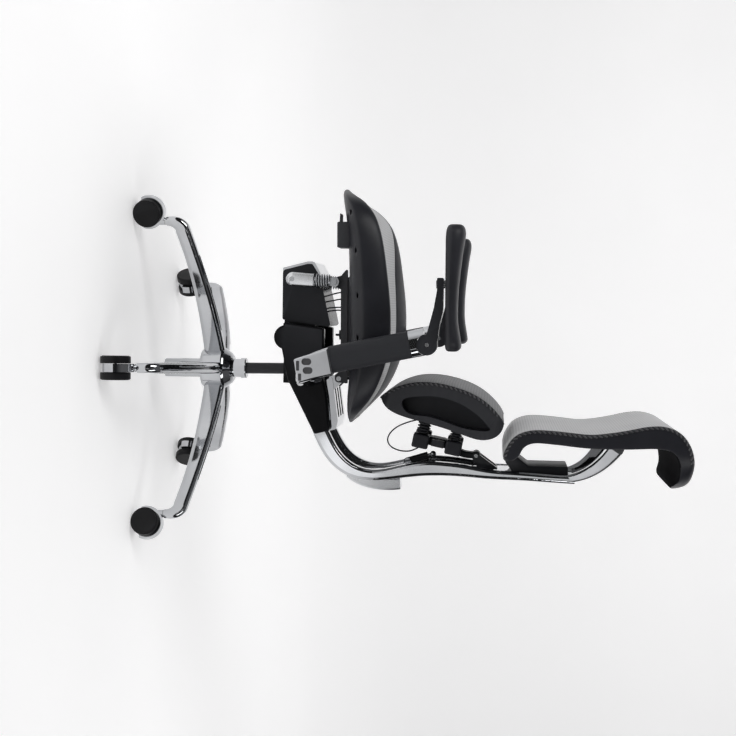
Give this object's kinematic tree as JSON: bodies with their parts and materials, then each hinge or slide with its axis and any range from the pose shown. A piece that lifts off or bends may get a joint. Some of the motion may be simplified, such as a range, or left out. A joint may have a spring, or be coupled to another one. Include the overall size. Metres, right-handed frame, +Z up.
{
  "type": "ergonomic office chair",
  "caption": "Swivel office chair with mesh seat, sprung lumbar support, upper back, adjustable arms and a castered star base.",
  "frame": {"origin": "on the floor, under the column's axis", "axes": "+Z up, -Y towards the front of the seat, +X towards the sitter's left arm"},
  "size_m": [0.6976, 0.7282, 1.142],
  "materials": {
    "polished": "polished",
    "satin_metal": "satin",
    "steel": "machined",
    "black_metal": "satin black",
    "black_plastic": "fine grain",
    "tread": "smooth tread",
    "soft_pad": "soft foam skin",
    "cable": "cable sheath",
    "mesh": "stretched woven mesh"
  },
  "bodies": {
    "base": {"base_star": "polished", "caster_stems": "steel", "gas_outer_tube": "polished", "gas_guide_bush": "black_plastic", "gas_thrust_bearing": "steel"},
    "column": {"gas_piston_rod": "steel"},
    "mechanism": {"gas_cylinder": "black_metal", "mech_chassis": "black_metal", "mech_front_cap": "polished", "mech_shafts": "steel", "control_cables": "cable"},
    "back": {"mech_covers": "black_plastic", "back_spine": "polished", "arm_brackets": "polished", "arm_sleeves": "black_plastic", "back_frame": "black_plastic", "back_mesh": "mesh", "tail_bracket": "satin_metal", "lumbar_bracket": "black_metal", "lumbar_pin": "steel"},
    "struts": {"strut_barrels": "satin_metal", "strut_rods": "steel", "strut_springs": "steel"},
    "carrier": {"seat_carrier": "steel", "seat_pins": "steel", "seat_bumpers": "soft_pad"},
    "seat": {"seat_shell": "black_plastic", "seat_mesh": "mesh", "control_box": "black_plastic"},
    "lever": {"seat_lever": "black_plastic"},
    "lumbar_carrier": {"lumbar_hanger": "black_plastic", "lumbar_bellows": "soft_pad", "lumbar_cable": "cable"},
    "lumbar_pad": {"lumbar_shell": "black_plastic", "lumbar_mesh": "mesh"},
    "lumbar_cylinder": {"lumbar_strut_cylinder": "black_metal"},
    "lumbar_rod": {"lumbar_strut_rod": "steel"},
    "post_left": {"arm_post_left": "polished"},
    "swing_left": {"swing_arm_left": "black_metal", "arm_pins_left": "satin_metal"},
    "pad_left": {"arm_pad_left": "soft_pad"},
    "post_right": {"arm_post_right": "polished"},
    "swing_right": {"swing_arm_right": "black_metal", "arm_pins_right": "satin_metal"},
    "pad_right": {"arm_pad_right": "soft_pad"},
    "caster_1": {"caster_1_hood": "polished", "caster_1_axle": "steel"},
    "wheels_1": {"caster_1_wheels": "tread"},
    "caster_2": {"caster_2_hood": "polished", "caster_2_axle": "steel"},
    "wheels_2": {"caster_2_wheels": "tread"},
    "caster_3": {"caster_3_hood": "polished", "caster_3_axle": "steel"},
    "wheels_3": {"caster_3_wheels": "tread"},
    "caster_4": {"caster_4_hood": "polished", "caster_4_axle": "steel"},
    "wheels_4": {"caster_4_wheels": "tread"},
    "caster_5": {"caster_5_hood": "polished", "caster_5_axle": "steel"},
    "wheels_5": {"caster_5_wheels": "tread"}
  },
  "joints": [
    {"name": "swivel", "type": "hinge", "parent": "base", "child": "column", "pos_m": [0, 0, 0.05], "axis": [0, 0, 1], "continuous": true},
    {"name": "lift", "type": "slide", "parent": "column", "child": "mechanism", "axis": [0, 0, 1], "range_m": [-0.075, 0.02]},
    {"name": "recline", "type": "hinge", "parent": "mechanism", "child": "back", "pos_m": [0, -0.069, 0.318], "axis": [-1, 0, 0], "range_deg": [0, 20], "stiffness_Nm_per_rad": 260, "springref_deg": -20.63},
    {"name": "strut_swing", "type": "hinge", "parent": "mechanism", "child": "struts", "pos_m": [0, -0.19, 0.334], "axis": [-1, 0, 0], "range_deg": [-1, 24]},
    {"name": "seat_tilt", "type": "hinge", "parent": "struts", "child": "carrier", "pos_m": [0, -0.184, 0.421], "axis": [-1, 0, 0], "range_deg": [-17, 1]},
    {"name": "seat_slide", "type": "slide", "parent": "carrier", "child": "seat", "axis": [0, 1, 0], "range_m": [-0.03, 0.02]},
    {"name": "seat_lever_turn", "type": "hinge", "parent": "seat", "child": "lever", "pos_m": [0.177, -0.296, 0.4445], "axis": [-1, 0, 0], "range_deg": [-12, 12], "stiffness_Nm_per_rad": 0.6},
    {"name": "lumbar_swing", "type": "hinge", "parent": "back", "child": "lumbar_carrier", "pos_m": [0, 0.18, 0.714], "axis": [1, 0, 0], "range_deg": [-5, 5], "stiffness_Nm_per_rad": 60},
    {"name": "lumbar_float", "type": "slide", "parent": "lumbar_carrier", "child": "lumbar_pad", "axis": [0, 0.9796, -0.2011], "range_m": [0, 0.008], "stiffness_N_per_m": 4000, "springref_m": -0.003, "deforming": ["lumbar_bellows", "lumbar_cable"]},
    {"name": "lumbar_strut_turn", "type": "hinge", "parent": "back", "child": "lumbar_cylinder", "pos_m": [0, 0.196, 0.568], "axis": [1, 0, 0], "range_deg": [-9, 9]},
    {"name": "lumbar_strut_slide", "type": "slide", "parent": "lumbar_cylinder", "child": "lumbar_rod", "axis": [0, -0.2888, 0.9574], "range_m": [-0.004, 0.004]},
    {"name": "arm_height_left", "type": "slide", "parent": "back", "child": "post_left", "axis": [0, -0.1959, 0.9806], "range_m": [0, 0.06]},
    {"name": "arm_swing_left", "type": "hinge", "parent": "post_left", "child": "swing_left", "pos_m": [0.27, -0.06043, 0.6223], "axis": [-1, 0, 0], "range_deg": [0, 60]},
    {"name": "pad_turn_left", "type": "hinge", "parent": "swing_left", "child": "pad_left", "pos_m": [0.27, -0.177, 0.656], "axis": [0, 0, 1], "range_deg": [-20, 20]},
    {"name": "arm_height_right", "type": "slide", "parent": "back", "child": "post_right", "axis": [0, -0.1959, 0.9806], "range_m": [0, 0.06]},
    {"name": "arm_swing_right", "type": "hinge", "parent": "post_right", "child": "swing_right", "pos_m": [-0.27, -0.06043, 0.6223], "axis": [-1, 0, 0], "range_deg": [0, 60]},
    {"name": "pad_turn_right", "type": "hinge", "parent": "swing_right", "child": "pad_right", "pos_m": [-0.27, -0.177, 0.656], "axis": [0, 0, 1], "range_deg": [-20, 20]},
    {"name": "caster_1_swivel", "type": "hinge", "parent": "base", "child": "caster_1", "pos_m": [0.32172, -0.01332, 0.06], "axis": [0, 0, 1], "continuous": true},
    {"name": "caster_1_roll", "type": "hinge", "parent": "caster_1", "child": "wheels_1", "pos_m": [0.34171, -0.01414, 0.029], "axis": [0.0414, 0.9991, 0], "continuous": true},
    {"name": "caster_2_swivel", "type": "hinge", "parent": "base", "child": "caster_2", "pos_m": [0.11208, 0.30186, 0.06], "axis": [0, 0, 1], "continuous": true},
    {"name": "caster_2_roll", "type": "hinge", "parent": "caster_2", "child": "wheels_2", "pos_m": [0.11904, 0.32061, 0.029], "axis": [-0.9375, 0.3481, 0], "continuous": true},
    {"name": "caster_3_swivel", "type": "hinge", "parent": "base", "child": "caster_3", "pos_m": [-0.25245, 0.19988, 0.06], "axis": [0, 0, 1], "continuous": true},
    {"name": "caster_3_roll", "type": "hinge", "parent": "caster_3", "child": "wheels_3", "pos_m": [-0.26813, 0.21229, 0.029], "axis": [-0.6207, -0.784, 0], "continuous": true},
    {"name": "caster_4_swivel", "type": "hinge", "parent": "base", "child": "caster_4", "pos_m": [-0.26811, -0.17833, 0.06], "axis": [0, 0, 1], "continuous": true},
    {"name": "caster_4_roll", "type": "hinge", "parent": "caster_4", "child": "wheels_4", "pos_m": [-0.28476, -0.18941, 0.029], "axis": [0.5538, -0.8326, 0], "continuous": true},
    {"name": "caster_5_swivel", "type": "hinge", "parent": "base", "child": "caster_5", "pos_m": [0.08675, -0.31009, 0.06], "axis": [0, 0, 1], "continuous": true},
    {"name": "caster_5_roll", "type": "hinge", "parent": "caster_5", "child": "wheels_5", "pos_m": [0.09214, -0.32935, 0.029], "axis": [0.963, 0.2694, 0], "continuous": true}
  ],
  "couplings": [
    {"joint": "strut_swing", "follows": "recline", "ratio": 1.159},
    {"joint": "seat_tilt", "follows": "recline", "ratio": -0.777},
    {"joint": "lumbar_strut_turn", "follows": "lumbar_swing", "ratio": -1.535},
    {"joint": "lumbar_strut_slide", "follows": "lumbar_swing", "m_per_rad": -0.0265}
  ]
}
